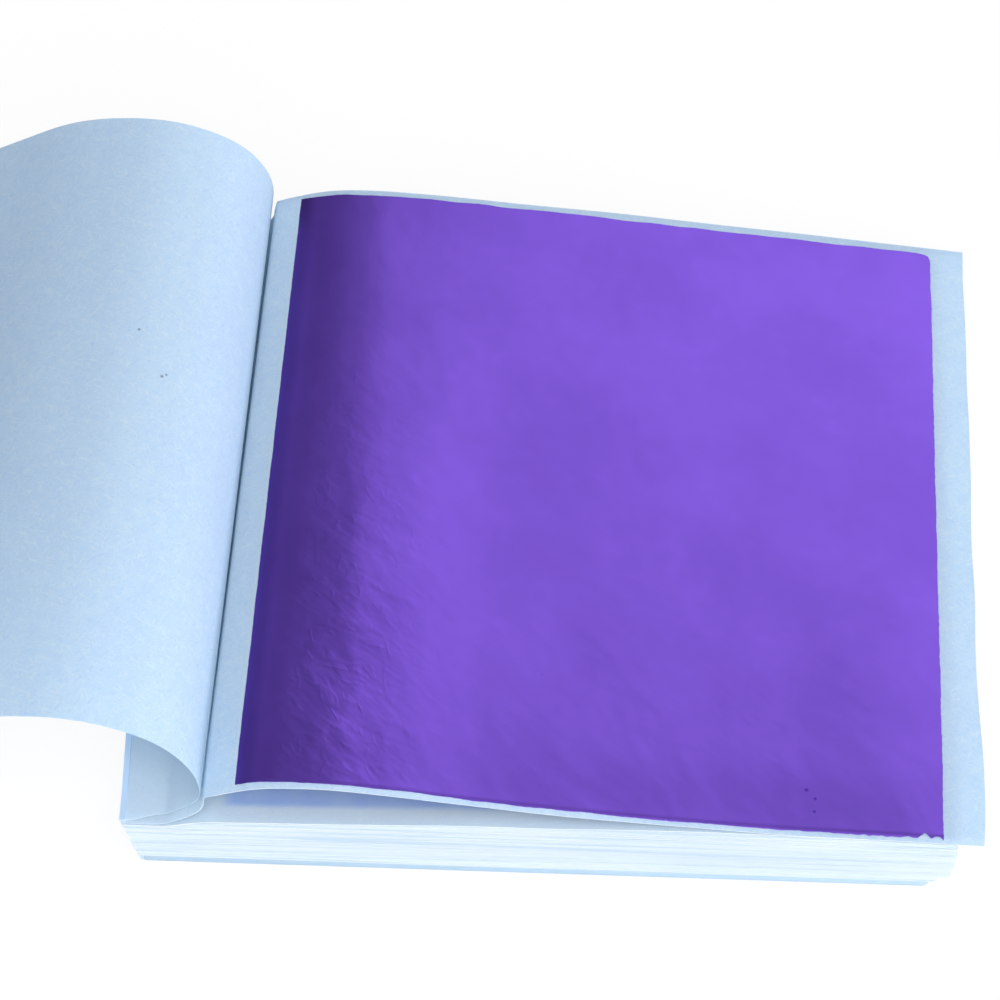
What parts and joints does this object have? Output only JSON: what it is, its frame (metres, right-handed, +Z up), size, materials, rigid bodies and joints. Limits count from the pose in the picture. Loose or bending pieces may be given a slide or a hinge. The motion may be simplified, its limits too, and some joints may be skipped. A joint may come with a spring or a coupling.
{
  "type": "gold leaf booklet",
  "caption": "Booklet of metal leaf between tissue pages, bound along one edge, open with its top page curled back over the binding and one purple leaf exposed.",
  "frame": {"origin": "middle of the back cover's underside, in line with the middle of the sheets", "axes": "+Z up; +X from the bound edge to the fore edge; +Y from the front of the booklet to its back"},
  "size_m": [0.1666, 0.0928, 0.0297],
  "materials": {
    "tissue": "matte",
    "block_tissue": "matte",
    "card": "matte",
    "glue": "matte",
    "foil": "satin"
  },
  "bodies": {
    "block": {"back_cover": "card", "binding_glue": "glue", "tissue_bundle_01": "block_tissue", "tissue_bundle_02": "block_tissue", "tissue_bundle_03": "block_tissue", "tissue_bundle_04": "block_tissue", "tissue_bundle_05": "block_tissue", "tissue_bundle_06": "block_tissue", "tissue_bundle_07": "block_tissue", "tissue_bundle_08": "block_tissue", "tissue_bundle_09": "block_tissue", "tissue_bundle_10": "block_tissue", "tissue_bundle_11": "block_tissue", "tissue_bundle_12": "block_tissue", "tissue_bundle_13": "block_tissue", "tissue_bundle_14": "block_tissue", "tissue_bundle_15": "block_tissue", "tissue_bundle_16": "block_tissue", "tissue_bundle_17": "block_tissue", "tissue_bundle_18": "block_tissue", "tissue_bundle_19": "block_tissue", "tissue_bundle_20": "block_tissue", "inner_leaf_01": "foil", "inner_leaf_02": "foil", "inner_leaf_03": "foil", "inner_leaf_04": "foil", "inner_leaf_05": "foil", "inner_leaf_06": "foil", "inner_leaf_07": "foil", "inner_leaf_08": "foil", "inner_leaf_09": "foil", "inner_leaf_10": "foil", "inner_leaf_11": "foil", "inner_leaf_12": "foil", "inner_leaf_13": "foil", "inner_leaf_14": "foil", "inner_leaf_15": "foil", "inner_leaf_16": "foil", "inner_leaf_17": "foil", "inner_leaf_18": "foil", "inner_leaf_19": "foil", "inner_leaf_20": "foil", "next_page": "tissue", "leaf_page_margin": "tissue", "turned_page_margin": "tissue"},
    "leaf_page": {"leaf_page": "tissue", "turned_page_riser": "tissue", "turned_page_strip_1": "tissue"},
    "exposed_leaf": {"exposed_leaf": "foil"},
    "page_strip_2": {"turned_page_strip_2": "tissue"},
    "page_strip_3": {"turned_page_strip_3": "tissue"},
    "page_strip_4": {"turned_page_strip_4": "tissue"},
    "page_strip_5": {"turned_page_strip_5": "tissue"},
    "page_strip_6": {"turned_page_strip_6": "tissue"}
  },
  "joints": [
    {"name": "leaf_page_lift", "type": "hinge", "parent": "block", "child": "leaf_page", "pos_m": [-0.0425, 0, 0.0086], "axis": [0, -1, 0], "range_deg": [0, 5]},
    {"name": "leaf_draw", "type": "slide", "parent": "leaf_page", "child": "exposed_leaf", "axis": [0, -1, -0.005], "range_m": [0, 0.04]},
    {"name": "page_turn", "type": "hinge", "parent": "leaf_page", "child": "page_strip_2", "pos_m": [-0.03722, 0.00101, 0.01712], "axis": [-0.0179, -0.9988, -0.0466], "range_deg": [-71, 0]},
    {"name": "page_fold_3", "type": "hinge", "parent": "page_strip_2", "child": "page_strip_3", "pos_m": [-0.03998, 0.00113, 0.02543], "axis": [-0.021, -0.9991, -0.0372], "range_deg": [-94.43, 0]},
    {"name": "page_fold_4", "type": "hinge", "parent": "page_strip_3", "child": "page_strip_4", "pos_m": [-0.04813, 0.00156, 0.02866], "axis": [-0.063, -0.9978, -0.0206], "range_deg": [-26.63, 0]},
    {"name": "page_fold_5", "type": "hinge", "parent": "page_strip_4", "child": "page_strip_5", "pos_m": [-0.05815, 0.00218, 0.02754], "axis": [-0.0607, -0.9979, -0.0203], "range_deg": [-17.75, 0]},
    {"name": "page_fold_6", "type": "hinge", "parent": "page_strip_5", "child": "page_strip_6", "pos_m": [-0.08727, 0.00424, 0.01307], "axis": [-0.0606, -0.998, -0.0203], "range_deg": [0, 17.75]}
  ],
  "couplings": [
    {"joint": "page_fold_3", "follows": "page_turn", "ratio": 1.33},
    {"joint": "page_fold_4", "follows": "page_turn", "ratio": 0.375},
    {"joint": "page_fold_5", "follows": "page_turn", "ratio": 0.25},
    {"joint": "page_fold_6", "follows": "page_turn", "ratio": -0.25}
  ]
}
